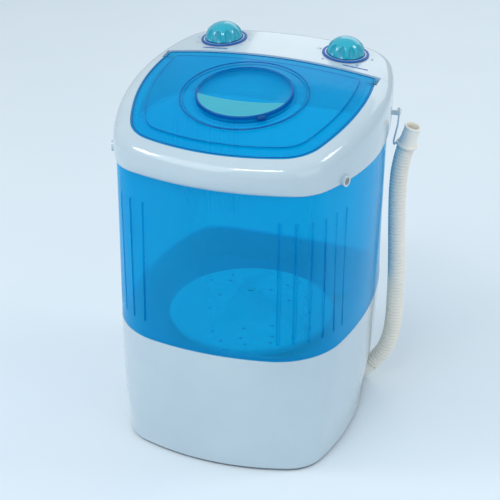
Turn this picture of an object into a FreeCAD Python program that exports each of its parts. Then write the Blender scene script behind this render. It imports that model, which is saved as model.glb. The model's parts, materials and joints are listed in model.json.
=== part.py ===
"""Mini top-loading washing machine: one translucent tub, a pulsator and two dials.

Millimetres, +Z up, front towards -Y. The origin is the middle of the footprint, on the floor.
"""
import FreeCAD, Part
import math
import os

V = FreeCAD.Vector

# ---- driving dimensions of the casing ----
# A casing section is eight tangent arcs: (half width, front y, rear y, side radius, front radius,
# rear radius, front corner radius, rear corner radius, y of the side arcs' centres).
BASE_SECTIONS = {
    4: (154, -173, 140, 400, 320, 900, 55, 80, -15),
    26: (155.5, -173.9, 143, 405, 325, 950, 58, 79, -14),
    64: (161.5, -175.5, 155, 425, 345, 1100, 70, 74, -9),
    108: (165, -177.4, 167, 455, 370, 1300, 84, 65, -4),
    145: (166.3, -179, 173, 470, 382, 1400, 92, 59, -1),
    181: (167, -180.5, 177, 480, 390, 1500, 98, 55, 1),
}
TUB_FOOT = BASE_SECTIONS[181]
TUB_HEAD = (175, -174.5, 181, 295, 376, 1500, 56, 50, 3.25)
COLLAR = (176.3, -187.8, 184, 364, 297, 1500, 86, 63, 13.7)
SEAM_LOW = 181.0          # between base and tub
SEAM_HIGH = 421.0         # between tub and collar
FLARE_TOP = 441.0         # the collar swells from the seam to its full section here
FLARE_SHARES = (0.0, 0.12, 0.3, 0.6, 1.0)
PANEL_SEAM = 440.0        # between collar and control panel
WALL = 3.0
TUB_WALL = 2.5
GAP = 0.5
CEILING = 560.0           # higher than anything

# ---- the crowned top, part of a ball ----
TOP_RADIUS = 1266.0
TOP_PEAK = 505.8
TOP_Y = 154.0
TOP_CENTRE = V(0, TOP_Y, TOP_PEAK - TOP_RADIUS)
SHOULDER = 20.0           # rounding of the top edge
SKIN = 5.5                # roof thickness
HINGE_Y = 74.0            # the lid's rear corners
LID_INSET = 23.6
LID_THICK = 3.2
LID_STEP = 19.0           # from the lid's edge to its raised middle
LEDGE = 9.0
BOW_RISE = 6.5            # the lid's rear edge bows to the rear
BOW_HALF = 150.0
BOW_RADIUS = (BOW_HALF ** 2 + BOW_RISE ** 2) / (2 * BOW_RISE)
BOW_CENTRE = HINGE_Y + BOW_RISE - BOW_RADIUS
BOW_GAP = 4.6             # room behind the lid for its rear edge to swing down

# ---- lid hinge and turning cap ----
AXIS_SETBACK = 10.0       # hinge axis in front of the lid's rear corners
AXIS_DEPTH = 3.5          # and below the top surface
HINGE_PIN_R = 1.5
PIN_IN, PIN_OUT = 138.0, 156.0
KNUCKLE_IN, KNUCKLE_OUT = 139.0, 148.0
KNUCKLE_X = (KNUCKLE_IN + KNUCKLE_OUT) / 2
CAP_Y = -33.3
CAP_R = 64.3
CAP_HIGH = 7.0
RING_R = 87.0
RING_WIDE = 4.0
PLATEAU = 2.4

# ---- fittings on the collar's sides ----
BOSS_Y, BOSS_Z = -100.0, 425.0
BOSS_R = 7.5
LUG_Y, LUG_Z = 113.0, 432.0

# ---- dials ----
DIAL_X = 88.7
DIAL_Y = 129.0
KNOB_R = 26.0
KNOB_HIGH = 24.0
DIAL_RING_R = 32.2
MARK_HIGH = 0.35
SPINDLE_R = 3.0

# ---- tub floor, pulsator and drive ----
FLOOR_LOW = 136.0
FLOOR_THICK = 3.0
DRIVE_Y = -9.0            # pulsator axis
PULSATOR_R = 115.0
PULSATOR_Z = 154.0
HUB_TOP = 189.0
SHAFT_TOP = HUB_TOP - 12.0
SHAFT_R = 5.0
BEARING_SCREW_CIRCLE = 28.0
SEAT_R = 15.0              # bore in the tub floor for the shaft seal
BUSH_R = 10.0
BUSH_LONG = 20.0
SCREW_R = 1.8
SCREW_HEAD_R = 4.0
SCREW_HOLE_R = 2.2
PULLEY_R = 60.0
MOTOR_PULLEY_R = 12.5
PULLEY_LOW = 18.0
PULLEY_HIGH = 30.0
BELT_SINK = 4.0           # the belt's inner face lies this far inside the pulley rims
MOTOR_X, MOTOR_Y = -78.0, 62.0
MOTOR_R = 46.0
MOTOR_SCREW_CIRCLE = 58.0
MOTOR_SHAFT_R = 4.0
ROTOR_R = 24.5
AIR_GAP = 0.5
BELL_HIGH = 14.0
BELL_WALL = 4.0
BRACKET_THICK = 3.0
MOTOR_LOW, MOTOR_HIGH = 40.0, 103.0

# ---- flutes moulded into the tub's corners ----
FLUTE_R = 3.2
FLUTE_LOW, FLUTE_HIGH = 206.0, 382.0
FLUTE_PITCH = 21.3
FLUTE_STARTS = (94.0, 388.0)   # run along the wall from the middle of the front
FLUTES_PER_CORNER = 6

# ---- drain ----
SUMP_X, SUMP_Y = 100.0, 95.0
SUMP_R = 12.0
PIPE_R, PIPE_BORE_R = 9.0, 6.0
PIPE_BEND_Z = 23.0
SPIGOT_R = 13.0
HOSE_R = 12.5
HOSE_BORE_R = 9.5
HOSE_ROUTE = [
    V(147.5, 110.0, 28.0), V(156.5, 112.4, 38.0), V(166.5, 114.3, 53.0), V(174.0, 115.3, 75.0),
    V(177.5, 115.5, 104.0), V(178.5, 115.0, 143.0), V(178.2, 115.2, 196.0), V(175.3, 115.0, 264.0),
    V(173.8, 115.6, 322.0), V(177.2, 115.4, 362.0), V(183.5, 115.0, 385.0),
]
CUFF_LONG = 32.0
OUTLET_LONG = 12.5
ELBOW = HOSE_ROUTE[0] - (HOSE_ROUTE[1] - HOSE_ROUTE[0]).normalize() * OUTLET_LONG

FEET = [(-104, -113), (104, -113), (-92, 89), (80, 89)]
FOOT_R = 14.0
PLATE_LOW, PLATE_HIGH = 8.0, 11.0
GLAND = V(-86.0, 127.0, 58.0)
GLAND_R = 9.0
GLAND_BORE_R = 3.5
CAPACITOR_X, CAPACITOR_Y = 88.0, -72.0

os.makedirs("parts", exist_ok=True)


# ---------------------------------------------------------------- helpers
def save(name, shape):
    """Write one node and say what it is."""
    if len(shape.Solids) == 1:
        shape = shape.Solids[0]
    shape.exportStep("parts/%s.step" % name)
    print("%-20s %-9s solids %2d  volume %11.1f  valid %s" % (
        name, shape.ShapeType, len(shape.Solids), shape.Volume, shape.isValid()))


def cylinder(radius, low, high, x=0.0, y=0.0):
    return Part.makeCylinder(radius, high - low, V(x, y, low))


def tube(outer, inner, low, high, x=0.0, y=0.0):
    return cylinder(outer, low, high, x, y).cut(cylinder(inner, low - 1, high + 1, x, y))


def rod(start, end, radius):
    return Part.makeCylinder(radius, (end - start).Length, start, end - start)


def box(x0, x1, y0, y1, z0, z1):
    return Part.makeBox(x1 - x0, y1 - y0, z1 - z0, V(x0, y0, z0))


def group(solids):
    return Part.makeCompound(solids)


def meet(centre_a, radius_a, centre_b, radius_b, towards_y):
    """Centre of a corner arc, given where its distance to two other centres is known."""
    gap = centre_b - centre_a
    along = (radius_a ** 2 - radius_b ** 2 + gap.Length ** 2) / (2 * gap.Length)
    across = math.sqrt(radius_a ** 2 - along ** 2)
    unit = gap.normalize()
    foot = centre_a + unit * along
    normal = V(-unit.y, unit.x, 0)
    ends = [foot + normal * across, foot - normal * across]
    return max(ends, key=lambda point: point.x + towards_y * point.y)


def right_arcs(spec, inset):
    """The right half of a section, front to rear: (centre, radius, start angle, end angle)."""
    half, front, rear, side_r, front_r, rear_r, corner_f, corner_r, side_y = spec
    side = V(half - side_r, side_y, 0)
    nose = V(0, front + front_r, 0)
    tail = V(0, rear - rear_r, 0)
    near = meet(side, side_r - corner_f, nose, front_r - corner_f, -1)
    far = meet(side, side_r - corner_r, tail, rear_r - corner_r, 1)
    nose_turn = math.atan2(near.y - nose.y, near.x - nose.x)
    side_low = math.atan2(near.y - side.y, near.x - side.x)
    side_high = math.atan2(far.y - side.y, far.x - side.x)
    tail_turn = math.atan2(far.y - tail.y, far.x - tail.x)
    return [
        (nose, front_r - inset, -math.pi / 2, nose_turn),
        (near, corner_f - inset, nose_turn, side_low),
        (side, side_r - inset, side_low, side_high),
        (far, corner_r - inset, side_high, tail_turn),
        (tail, rear_r - inset, tail_turn, math.pi / 2),
    ]


def on_arc(arc, angle, z):
    centre, radius, _, _ = arc
    return V(centre.x + radius * math.cos(angle), centre.y + radius * math.sin(angle), z)


def section(spec, z, inset=0.0):
    """Closed wire of eight arcs at height z, moved inwards by inset."""
    arcs = right_arcs(spec, inset)
    edges = []
    start = on_arc(arcs[0], arcs[0][3], z)
    edges.append(Part.Arc(V(-start.x, start.y, z), on_arc(arcs[0], -math.pi / 2, z), start))
    for arc in arcs[1:4]:
        ends = [on_arc(arc, angle, z) for angle in (arc[2], (arc[2] + arc[3]) / 2, arc[3])]
        edges.append(Part.Arc(*ends))
    end = on_arc(arcs[4], arcs[4][2], z)
    edges.append(Part.Arc(end, on_arc(arcs[4], math.pi / 2, z), V(-end.x, end.y, z)))
    for arc in reversed(arcs[1:4]):
        ends = [on_arc(arc, angle, z) for angle in (arc[3], (arc[2] + arc[3]) / 2, arc[2])]
        edges.append(Part.Arc(*[V(-point.x, point.y, z) for point in ends]))
    return Part.Wire([edge.toShape() for edge in edges])


def along_wall(spec, inset, distance, z):
    """Point on the right half of a section, a distance along it from the middle of the front."""
    for arc in right_arcs(spec, inset):
        length = arc[1] * (arc[3] - arc[2])
        if distance <= length:
            return on_arc(arc, arc[2] + distance / arc[1], z)
        distance -= length
    return on_arc(arc, arc[3], z)


def prism(spec, low, high, inset=0.0):
    return Part.Face(section(spec, low, inset)).extrude(V(0, 0, high - low))


def loft(levels, inset=0.0, ruled=False):
    """Solid through (height, section) levels."""
    return Part.makeLoft([section(spec, z, inset) for z, spec in levels], True, ruled)


def blend_specs(low, high, share):
    return tuple(a + (b - a) * share for a, b in zip(low, high))


def collar_spec(z):
    """The collar's section at height z: a quarter of an ellipse out from the seam."""
    rise = min(max((z - SEAM_HIGH) / (FLARE_TOP - SEAM_HIGH), 0.0), 1.0)
    return blend_specs(TUB_HEAD, COLLAR, math.sqrt(1 - (1 - rise) ** 2))


def top_z(x, y):
    reach = TOP_RADIUS ** 2 - x ** 2 - (y - TOP_Y) ** 2
    return TOP_CENTRE.z + math.sqrt(reach)


def on_top(shape, x, y):
    """Move a shape made about the origin onto the crowned top at (x, y), square to it."""
    spot = V(x, y, top_z(x, y))
    turn = FreeCAD.Rotation(V(0, 0, 1), spot - TOP_CENTRE)
    placed = shape.copy()
    placed.Placement = FreeCAD.Placement(spot, turn) * placed.Placement
    return placed


def below_top(drop):
    """The ball whose crown is the top surface, lowered by drop; its poles and seam lie far off."""
    ball = Part.makeSphere(TOP_RADIUS - drop)
    ball.rotate(V(0, 0, 0), V(0, 1, 0), 90)
    ball.translate(TOP_CENTRE)
    return ball


def above_top(drop):
    return box(-250, 250, -300, 300, 400, CEILING).cut(below_top(drop))


def at_hinge(shape):
    """Move a shape made about the origin to the lid's rear corners, sloping along y only."""
    placed = shape.copy()
    slope = math.degrees(math.asin((TOP_Y - HINGE_Y) / TOP_RADIUS))
    placed.rotate(V(0, 0, 0), V(1, 0, 0), slope)
    placed.translate(V(0, HINGE_Y, top_z(KNUCKLE_X, HINGE_Y)))
    return placed


def ahead_of_bow(extra, low=380.0, high=560.0):
    """Space in front of the bowed line at the lid's rear edge."""
    reach = BOW_RADIUS + extra
    disc = Part.makeCylinder(reach, high - low, V(0, BOW_CENTRE, low))
    return disc.common(box(-220, 220, -260, 120, low, high))


def behind_bow(extra, low, high):
    return box(-220, 220, 0, 220, low, high).cut(ahead_of_bow(extra, low - 1, high + 1))


# ---------------------------------------------------------------- casing
def flared_block(inset, low, high):
    """The collar's outside as one block between two heights."""
    levels = []
    for share in FLARE_SHARES:
        z = SEAM_HIGH + share * (FLARE_TOP - SEAM_HIGH)
        levels.append((z, collar_spec(z)))
    block = loft(levels, inset)
    if low < SEAM_HIGH:
        block = block.fuse(prism(TUB_HEAD, low, SEAM_HIGH, inset))
    if high > FLARE_TOP:
        block = block.fuse(prism(COLLAR, FLARE_TOP, high, inset))
    return block


def cap_solid(inset, drop, rounding, low):
    """The casing's top as one block with its top edge rounded."""
    crown = prism(COLLAR, FLARE_TOP, CEILING, inset).common(below_top(drop))
    top_face = max(crown.Faces, key=lambda face: face.CenterOfMass.z)
    crown = crown.makeFillet(rounding, top_face.Edges)
    return flared_block(inset, low, FLARE_TOP).fuse(crown)


def wall_point(z, y):
    """The collar's right side at height z and y, and the outward direction there."""
    for centre, radius, start, end in right_arcs(collar_spec(z), 0.0)[1:4]:
        angle = math.asin(min(max((y - centre.y) / radius, -1.0), 1.0))
        if start <= angle <= end:
            break
    out = V(math.cos(angle), math.sin(angle), 0)
    return V(centre.x, centre.y, z) + out * radius, out


def mirrored(shape):
    return shape.mirror(V(0, 0, 0), V(1, 0, 0))


def boss_tools(side_low, side_high, radius):
    """A short cylinder square to the collar's side, from side_low to side_high off its surface."""
    point, out = wall_point(BOSS_Z, BOSS_Y)
    start = point + out * side_low
    solid = rod(start, start + out * (side_high - side_low), radius)
    return [solid, mirrored(solid)]


def cut_all(shape, tools):
    for tool in tools:
        shape = shape.cut(tool)
    return shape


def hinge_axis_point():
    return at_hinge(Part.Vertex(0, -AXIS_SETBACK, -AXIS_DEPTH)).Point


def hinge_rods(inner, outer, radius):
    centre = hinge_axis_point()
    right = rod(V(inner, centre.y, centre.z), V(outer, centre.y, centre.z), radius)
    return [right, mirrored(right)]


def top_collar(outer, inner):
    shell = outer.cut(inner)
    deck = flared_block(WALL - 0.1, SEAM_HIGH, FLARE_TOP)
    deck = deck.common(behind_bow(BOW_GAP, PANEL_SEAM - WALL - 0.2, PANEL_SEAM))
    shell = shell.cut(behind_bow(BOW_GAP, PANEL_SEAM, CEILING)).fuse(deck)
    recess = prism(COLLAR, 400, CEILING, LID_INSET - 0.8).common(above_top(LID_THICK + 0.2))
    mouth = prism(COLLAR, 400, CEILING, LID_INSET + LEDGE)
    mouth = mouth.common(ahead_of_bow(BOW_GAP, PANEL_SEAM - 10, CEILING))
    shell = shell.cut(recess).cut(mouth)
    pocket = box(KNUCKLE_IN - 3, KNUCKLE_OUT + 5.2, -AXIS_SETBACK - 8, BOW_GAP + 5, -20, 2)
    pocket = at_hinge(pocket)
    shell = shell.cut(pocket).cut(mirrored(pocket))
    shell = cut_all(shell, hinge_rods(PIN_IN - 5, PIN_OUT + 0.2, HINGE_PIN_R + 0.02))
    return cut_all(shell, boss_tools(-8, 8, 2.3))


def control_panel(outer, inner):
    low = PANEL_SEAM + 0.4
    panel = outer.common(behind_bow(BOW_GAP + 0.4, low, CEILING))
    panel = panel.cut(inner.common(behind_bow(BOW_GAP + 0.4 + WALL, low - 5, CEILING)))
    for x in (-DIAL_X, DIAL_X):
        panel = panel.cut(on_top(cylinder(SPINDLE_R + 1.5, -20, 20), x, DIAL_Y))
    return panel


def base_housing():
    levels = sorted(BASE_SECTIONS.items())
    shell = loft(levels).cut(loft(levels, WALL))
    caps = [box(-250, 250, -250, 250, -20, levels[0][0]), box(-250, 250, -250, 250, SEAM_LOW, 200)]
    shell = cut_all(shell, caps)
    shell = shell.cut(rod(V(SUMP_X, SUMP_Y, ELBOW.z), ELBOW, PIPE_R + 3))
    shell = shell.cut(Part.makeSphere(SPIGOT_R + 1.4, ELBOW))
    shell = shell.cut(rod(ELBOW, HOSE_ROUTE[0], SPIGOT_R + 1))
    return shell.cut(rod(GLAND, GLAND + V(0, 40, 0), GLAND_R + 0.3))


def base_plate():
    plate = prism(BASE_SECTIONS[4], PLATE_LOW, PLATE_HIGH, WALL + 0.5)
    for x, y in FEET:
        plate = plate.cut(cylinder(2.6, 0, 20, x, y))
    for row in range(5):
        y = -40 + 16 * row
        slot = box(40, 110, y, y + 6, 0, 20)
        plate = plate.cut(slot)
    return plate.cut(Part.makeSphere(15.5, ELBOW))


def wash_tub():
    low_spec = BASE_SECTIONS[145]
    foot = loft([(FLOOR_LOW, low_spec), (SEAM_LOW + 1, low_spec)], WALL + 2.0, True)
    wall_levels = [(SEAM_LOW + 0.4, TUB_FOOT), (SEAM_HIGH - 0.5, TUB_HEAD)]
    wall = loft(wall_levels, 0.3, True)
    neck = prism(TUB_HEAD, SEAM_HIGH - 2, PANEL_SEAM - 6, WALL + GAP)
    ribs = []
    grooves = []
    for start in FLUTE_STARTS:
        for number in range(FLUTES_PER_CORNER):
            distance = start + FLUTE_PITCH * number
            ribs.append(flute(distance, FLUTE_R + 0.6, FLUTE_R))
            grooves.append(flute(distance, 0.3, FLUTE_R - 1.2))
    wall = cut_all(wall, grooves + [mirrored(groove) for groove in grooves])
    tub = foot.fuse(wall).fuse(neck)
    low_space = loft([(FLOOR_LOW + FLOOR_THICK, low_spec), (SEAM_LOW + 4, low_spec)],
                     WALL + 2.0 + TUB_WALL, True)
    main_space = loft([(SEAM_LOW + 3, TUB_FOOT), (SEAM_HIGH - 3, TUB_HEAD)], 0.3 + TUB_WALL, True)
    neck_space = prism(TUB_HEAD, SEAM_HIGH - 4, PANEL_SEAM, WALL + GAP + TUB_WALL)
    main_space = cut_all(main_space, ribs + [mirrored(rib) for rib in ribs])
    tub = tub.cut(low_space).cut(main_space).cut(neck_space)
    bosses = [cylinder(7, MOTOR_HIGH + 4, FLOOR_LOW + 1, x, y) for x, y in motor_holes()]
    tub = tub.fuse(bosses)
    for x, y in motor_holes():
        tub = tub.cut(cylinder(SCREW_R, MOTOR_HIGH, FLOOR_LOW - 6, x, y))
    tub = tub.cut(cylinder(SEAT_R + 0.1, 100, 160, 0, DRIVE_Y))
    tub = tub.cut(cylinder(SUMP_R, 100, 160, SUMP_X, SUMP_Y))
    for x, y in bearing_holes():
        tub = tub.cut(cylinder(SCREW_R, 120, FLOOR_LOW + 2, x, y))
    return cut_all(tub, boss_tools(-10, 4, 1.9))


def flute(distance, inset, radius):
    """Upright rod with rounded ends against the wall, leaning with its draft."""
    share = [(z - SEAM_LOW) / (SEAM_HIGH - SEAM_LOW) for z in (FLUTE_LOW, FLUTE_HIGH)]
    foot = along_wall(TUB_FOOT, inset, distance, 0.0)
    head = along_wall(TUB_HEAD, inset, distance, 0.0)
    ends = [foot + (head - foot) * part for part in share]
    low = V(ends[0].x, ends[0].y, FLUTE_LOW)
    high = V(ends[1].x, ends[1].y, FLUTE_HIGH)
    solid = rod(low, high, radius)
    rims = [edge for edge in solid.Edges if edge.Curve.TypeId == "Part::GeomCircle"]
    return solid.makeFillet(0.6 * radius, rims)


def ring_points(radius, count, first_angle, x=0.0, y=0.0):
    points = []
    for number in range(count):
        angle = math.radians(first_angle + 360.0 * number / count)
        points.append((x + radius * math.cos(angle), y + radius * math.sin(angle)))
    return points


def motor_holes():
    return ring_points(MOTOR_SCREW_CIRCLE, 4, 45, MOTOR_X, MOTOR_Y)


def bearing_holes():
    return ring_points(BEARING_SCREW_CIRCLE, 4, 45, 0, DRIVE_Y)


# ---------------------------------------------------------------- lid
def lid_slab(inset, drop, thick):
    """A sheet that follows the sloping top inside the lid's outline."""
    sheet = prism(COLLAR, 380, CEILING, inset).common(ahead_of_bow(LID_INSET - inset))
    return sheet.common(below_top(drop)).common(above_top(drop + thick))


def lid():
    sheet = lid_slab(LID_INSET, 0.0, LID_THICK)
    sheet = sheet.fuse(lid_slab(LID_INSET + LID_STEP, -PLATEAU, LID_THICK + PLATEAU))
    sheet = sheet.cut(lid_slab(LID_INSET + LID_STEP + 3, LID_THICK - PLATEAU, 20))
    ring = Part.makeCone(RING_R, RING_R - 2, 6, V(0, 0, -4)).cut(Part.makeCone(
        RING_R - RING_WIDE - 2, RING_R - RING_WIDE, 7, V(0, 0, -4.5)))
    sheet = sheet.fuse(on_top(ring, 0, CAP_Y))
    seat = tube(CAP_R + 4, CAP_R + 0.6, -LID_THICK - 1, PLATEAU - 0.2)
    sheet = sheet.fuse(on_top(seat, 0, CAP_Y))
    sheet = sheet.cut(on_top(cylinder(CAP_R + 0.6, -20, 20), 0, CAP_Y))
    shelf = tube(CAP_R + 4, CAP_R - 4, -LID_THICK - 2.6, -LID_THICK - 0.6)
    sheet = sheet.fuse(on_top(shelf, 0, CAP_Y))
    knuckle = box(KNUCKLE_IN, KNUCKLE_OUT, -AXIS_SETBACK - 4, -AXIS_SETBACK + 4, -6.5, -1.6)
    knuckle = at_hinge(knuckle)
    sheet = sheet.fuse(knuckle).fuse(mirrored(knuckle))
    return cut_all(sheet, hinge_rods(PIN_IN - 5, PIN_OUT + 2, HINGE_PIN_R + 0.05))


def lid_cap():
    """Low round cup that drops into the lid and turns on its shelf."""
    cup = cylinder(CAP_R, -LID_THICK - 0.3, CAP_HIGH)
    cup = cup.cut(cylinder(CAP_R - 2.4, CAP_HIGH - 1.6, CAP_HIGH + 1))
    cup = cup.cut(cylinder(CAP_R - 2.4, -20, CAP_HIGH - 4.2))
    tab = box(CAP_R - 1, CAP_R + 8, -6, 6, PLATEAU + 0.4, CAP_HIGH - 0.6)
    tab.rotate(V(0, 0, 0), V(0, 0, 1), -60)
    return on_top(cup.fuse(tab), 0, CAP_Y)


# ---------------------------------------------------------------- dials
def knob():
    """Domed grip with ten finger flutes, standing on z = 0."""
    crown = 5.0
    profile = [V(0, 0, 0), V(KNOB_R, 0, 0), V(KNOB_R - 1.0, 0, 7), V(crown, 0, KNOB_HIGH),
               V(0, 0, KNOB_HIGH)]
    outline = Part.Wire([
        Part.LineSegment(profile[0], profile[1]).toShape(),
        Part.LineSegment(profile[1], profile[2]).toShape(),
        Part.Arc(profile[2], V(KNOB_R * 0.72, 0, KNOB_HIGH * 0.78), profile[3]).toShape(),
        Part.LineSegment(profile[3], profile[4]).toShape(),
        Part.LineSegment(profile[4], profile[0]).toShape(),
    ])
    dome = Part.Face(outline).revolve(V(0, 0, 0), V(0, 0, 1), 360)
    for x, y in ring_points(KNOB_R + 2.5, 10, 18):
        dome = dome.cut(rod(V(x, y, -1), V(x * 0.8, y * 0.8, KNOB_HIGH - 3), 4.2))
    socket = cylinder(SPINDLE_R, -1, 12)
    return dome.cut(socket)


def dial(side, knob_name, ring_name, spindle_name, body_name, body_wide):
    x = side * DIAL_X
    ring = tube(DIAL_RING_R, SPINDLE_R + 1.5, -2, 1.6)
    ring = ring.cut(tube(DIAL_RING_R - 3.2, DIAL_RING_R - 4.4, 1.0, 3))
    save(ring_name, on_top(ring, x, DIAL_Y).cut(below_top(-0.05)))
    lifted = knob()
    lifted.translate(V(0, 0, 2.4))
    save(knob_name, on_top(lifted, x, DIAL_Y))
    save(spindle_name, on_top(cylinder(SPINDLE_R, -28, 14.4), x, DIAL_Y))
    body = box(-body_wide / 2, body_wide / 2, -20, 20, -42, -SKIN - 0.6)
    body = body.cut(cylinder(SPINDLE_R + 0.05, -30, 0))
    save(body_name, on_top(body, x, DIAL_Y))


def dial_marks():
    """Raised printing on the panel: a dash bar by each dial and a ring of ticks at the right."""
    film = above_top(-0.05).common(below_top(-MARK_HIGH))
    marks = []
    for side in (-1, 1):
        bar = box(-16, 16, -DIAL_RING_R - 7.5, -DIAL_RING_R - 5, -3, 3)
        marks.append(on_top(bar, side * DIAL_X, DIAL_Y).common(film))
    for number in range(6):
        angle = 210 - 48 * number
        tick = box(DIAL_RING_R + 2.5, DIAL_RING_R + 5, -0.6, 0.6, -3, 3)
        tick.rotate(V(0, 0, 0), V(0, 0, 1), angle)
        marks.append(on_top(tick, DIAL_X, DIAL_Y).common(film))
    return group(marks)


# ---------------------------------------------------------------- pulsator and drive
def pulsator():
    top = PULSATOR_Z + 4
    disc = cylinder(PULSATOR_R, PULSATOR_Z, top)
    skirt = tube(PULSATOR_R, PULSATOR_R - 3, PULSATOR_Z - 5, top)
    hub = Part.makeCone(34, 11, HUB_TOP - top, V(0, 0, top))
    boss = cylinder(12, PULSATOR_Z - 5, top)
    shape = disc.fuse([skirt, hub, boss])
    for number in range(3):
        vane = box(20, PULSATOR_R - 8, -6, 6, PULSATOR_Z + 2, PULSATOR_Z + 15)
        slope = box(20, 140, -30, 30, 0, 60)
        slope.rotate(V(20, 0, 0), V(0, 1, 0), 7)
        slope.translate(V(0, 0, PULSATOR_Z + 16))
        vane = vane.cut(slope)
        vane.rotate(V(0, 0, 0), V(0, 0, 1), 130 + 120 * number)
        shape = shape.fuse(vane)
    shape = shape.cut(cylinder(SHAFT_R, 130, SHAFT_TOP))
    shape = shape.cut(cylinder(7, SHAFT_TOP + 2, HUB_TOP + 16)).cut(cylinder(2.5, 160, HUB_TOP + 6))
    for x, y in ring_points(84, 12, 10) + ring_points(58, 9, 0):
        shape = shape.cut(cylinder(2, 130, PULSATOR_Z + 5, x, y))
    return at_drive(shape)


def at_drive(shape):
    """Move a shape made about the z axis to the pulsator's axis."""
    shape.translate(V(0, DRIVE_Y, 0))
    return shape


def pulley(radius, bore, hub_radius):
    """V-grooved pulley between PULLEY_LOW and PULLEY_HIGH."""
    body = cylinder(radius, PULLEY_LOW, PULLEY_HIGH)
    middle = (PULLEY_LOW + PULLEY_HIGH) / 2
    groove = tube(radius + 1, radius - BELT_SINK - 0.5, middle - 3.5, middle + 3.5)
    body = body.cut(groove)
    if hub_radius < radius - 20:
        web = tube(radius - 12, hub_radius, middle + 2, PULLEY_HIGH + 1)
        body = body.cut(web).cut(tube(radius - 12, hub_radius, PULLEY_LOW - 1, middle - 2))
    return body.cut(cylinder(bore, 0, 60))


def belt_loop(extra, low, high):
    """Solid hull round both pulleys, extra from the belt's inner face."""
    big = PULLEY_R - BELT_SINK + extra
    small = MOTOR_PULLEY_R - BELT_SINK + extra
    span = math.hypot(MOTOR_X, MOTOR_Y - DRIVE_Y)
    heading = math.atan2(MOTOR_Y - DRIVE_Y, MOTOR_X)
    lean = math.acos((big - small) / span)
    corners = []
    for x, y, radius, turn in ((0, DRIVE_Y, big, lean), (MOTOR_X, MOTOR_Y, small, lean),
                               (MOTOR_X, MOTOR_Y, small, -lean), (0, DRIVE_Y, big, -lean)):
        angle = heading + turn
        corners.append(V(x + radius * math.cos(angle), y + radius * math.sin(angle), low))
    band = Part.Face(Part.makePolygon(corners + corners[:1])).extrude(V(0, 0, high - low))
    rounds = [cylinder(big, low, high, 0, DRIVE_Y), cylinder(small, low, high, MOTOR_X, MOTOR_Y)]
    return band.fuse(rounds)


def drive():
    save("pulsator", pulsator())
    save("pulsator_shaft", at_drive(cylinder(SHAFT_R, 15, SHAFT_TOP)))
    shank = cylinder(2.5, SHAFT_TOP, SHAFT_TOP + 4)
    save("pulsator_screw", at_drive(shank.fuse(cylinder(6, SHAFT_TOP + 4, SHAFT_TOP + 7))))
    save("drive_pulley", at_drive(pulley(PULLEY_R, SHAFT_R, 14)))
    save("shaft_seal", at_drive(tube(SEAT_R, SHAFT_R + 0.05, FLOOR_LOW - 3, FLOOR_LOW + 6)))
    housing = cylinder(34.5, FLOOR_LOW - 7.5, FLOOR_LOW - 3.5).fuse(cylinder(17, 60, FLOOR_LOW - 4))
    housing = at_drive(housing.cut(cylinder(BUSH_R, 50, 150)))
    for x, y in bearing_holes():
        housing = housing.cut(cylinder(SCREW_HOLE_R, 100, 150, x, y))
    save("bearing_housing", housing)
    bushes = [tube(BUSH_R, SHAFT_R + 0.04, low, low + BUSH_LONG) for low in (62, FLOOR_LOW - 24)]
    save("shaft_bushes", at_drive(group(bushes)))
    under = FLOOR_LOW - 7.6
    save("bearing_screws", group([screw(hole, under, FLOOR_LOW + 1.5) for hole in bearing_holes()]))
    save("housing_gasket", at_drive(tube(SEAT_R + 5, SEAT_R + 0.2, FLOOR_LOW - 3.4, FLOOR_LOW - 0.1)))
    middle = (PULLEY_LOW + PULLEY_HIGH) / 2
    belt = belt_loop(4.0, middle - 3, middle + 3).cut(belt_loop(0.0, middle - 4, middle + 4))
    save("drive_belt", belt)


def motor():
    x, y = MOTOR_X, MOTOR_Y
    core_low, core_high = MOTOR_LOW + BELL_HIGH, MOTOR_HIGH - BELL_HIGH
    low_room = cylinder(MOTOR_R - BELL_WALL, MOTOR_LOW + BELL_WALL, core_low + 1, x, y)
    high_room = cylinder(MOTOR_R - BELL_WALL, core_high - 1, MOTOR_HIGH - BELL_WALL, x, y)
    low_bell = cylinder(MOTOR_R, MOTOR_LOW, core_low, x, y).cut(low_room)
    high_bell = cylinder(MOTOR_R, core_high, MOTOR_HIGH, x, y).cut(high_room)
    bore = cylinder(MOTOR_SHAFT_R + 0.05, 0, MOTOR_HIGH - 1, x, y)
    save("motor_end_bells", group([low_bell.cut(bore), high_bell.cut(bore)]))
    save("stator_core", tube(MOTOR_R - 1, ROTOR_R + AIR_GAP, core_low, core_high, x, y))
    coils = [tube(38, 28, MOTOR_LOW + 5, core_low - 0.2, x, y),
             tube(38, 28, core_high + 0.2, MOTOR_HIGH - 5, x, y)]
    save("stator_windings", group(coils))
    save("rotor_core", tube(ROTOR_R, MOTOR_SHAFT_R, core_low + 1, core_high - 1, x, y))
    save("motor_shaft", cylinder(MOTOR_SHAFT_R, PULLEY_LOW - 3, MOTOR_HIGH - 1.5, x, y))
    wheel = pulley(MOTOR_PULLEY_R, MOTOR_SHAFT_R, MOTOR_PULLEY_R)
    wheel.translate(V(x, y, 0))
    save("motor_pulley", wheel)
    low, high = MOTOR_HIGH + 0.1, MOTOR_HIGH + 0.1 + BRACKET_THICK
    plate = box(x - 56, x + 56, y - 56, y + 56, low, high)
    plate = plate.cut(cylinder(BUSH_R + 9, low - 1, high + 1, 0, DRIVE_Y))
    plate = plate.common(prism(BASE_SECTIONS[108], low, high, 2 * WALL))
    for hole_x, hole_y in motor_holes():
        plate = plate.cut(cylinder(SCREW_HOLE_R, low - 1, high + 1, hole_x, hole_y))
    save("motor_bracket", plate)
    save("motor_screws", group([screw(hole, MOTOR_HIGH, MOTOR_HIGH + 18) for hole in motor_holes()]))


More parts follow.
